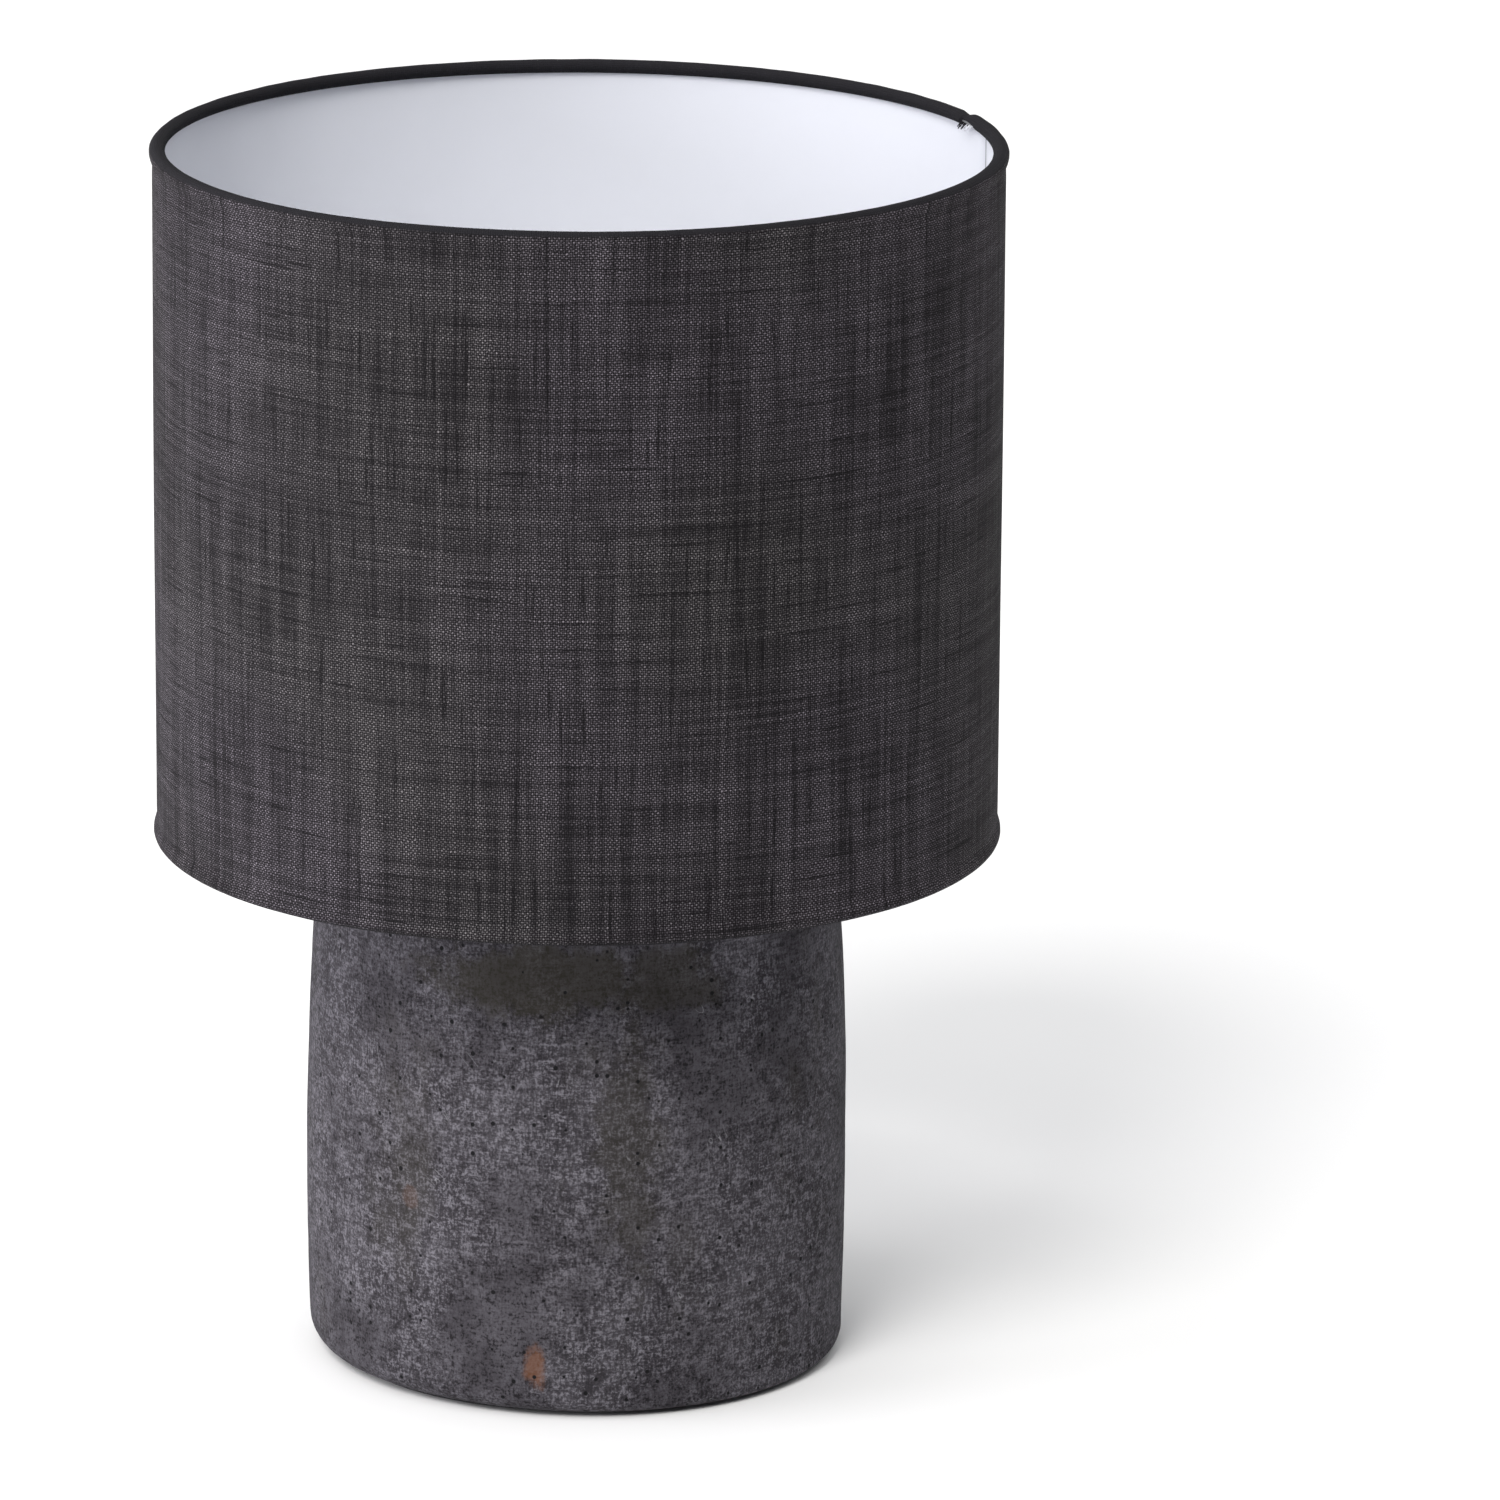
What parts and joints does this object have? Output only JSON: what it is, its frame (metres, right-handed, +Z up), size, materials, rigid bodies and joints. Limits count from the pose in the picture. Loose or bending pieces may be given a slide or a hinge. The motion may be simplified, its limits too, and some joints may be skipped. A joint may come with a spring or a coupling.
{
  "type": "table lamp with shade",
  "caption": "Table lamp with a dark linen drum shade on a cast, barrel-shaped base, with an E27 lampholder, shade ring and LED bulb.",
  "frame": {"origin": "centre of the footprint, on the surface that the lamp stands on", "axes": "+Z up along the lampholder's axis, -Y towards the viewer, +Y towards the cord outlet"},
  "size_m": [0.2518, 0.2518, 0.367],
  "materials": {
    "concrete": "raw dark grey cast concrete with pits, stains and a faint cloth print",
    "pad": "matt foam rubber",
    "rubber": "matt moulded rubber",
    "zinc_steel": "zinc plated",
    "white_steel": "white powder coat",
    "black_plastic": "satin moulded thermoplastic",
    "ceramic": "unglazed steatite",
    "brass": "stamped brass",
    "nickel": "nickel plated",
    "opal": "frosted opal diffuser",
    "bulb_plastic": "satin white",
    "circuit_board": "solder mask",
    "linen": "charcoal plain-weave linen with slubs",
    "lining": "smooth white laminating film"
  },
  "bodies": {
    "base": {"base_shell": "concrete", "foot_ring": "pad", "cord_grommet": "rubber", "threaded_tube": "zinc_steel", "lower_washer": "zinc_steel", "top_washer": "zinc_steel", "lock_nut": "zinc_steel", "holder_cap": "black_plastic", "cap_grub_screw": "zinc_steel", "contact_block": "ceramic", "live_terminal_screw": "brass", "neutral_terminal_screw": "brass", "centre_contact": "brass", "side_contact": "brass", "screw_shell": "brass", "holder_skirt": "black_plastic"},
    "ring": {"shade_ring": "black_plastic"},
    "shade": {"shade_cover": "linen", "shade_lining": "lining", "top_wire_ring": "zinc_steel", "lower_wire_ring": "zinc_steel", "fitter_ring": "white_steel", "fitter_spoke_1": "white_steel", "fitter_spoke_2": "white_steel", "fitter_spoke_3": "white_steel"},
    "bulb": {"bulb_contact": "zinc_steel", "bulb_insulator": "black_plastic", "bulb_cap": "nickel", "bulb_globe": "opal", "bulb_body": "bulb_plastic", "led_board": "circuit_board", "driver_board": "circuit_board"}
  },
  "joints": [
    {"name": "shade_ring_lift", "type": "slide", "parent": "base", "child": "ring", "axis": [0, 0, 1], "range_m": [0, 0.07]},
    {"name": "shade_turn", "type": "hinge", "parent": "ring", "child": "shade", "pos_m": [0, 0, 0.19], "axis": [0, 0, 1], "continuous": true},
    {"name": "bulb_lift", "type": "slide", "parent": "ring", "child": "bulb", "axis": [0, 0, 1], "range_m": [0, 0.19]}
  ]
}
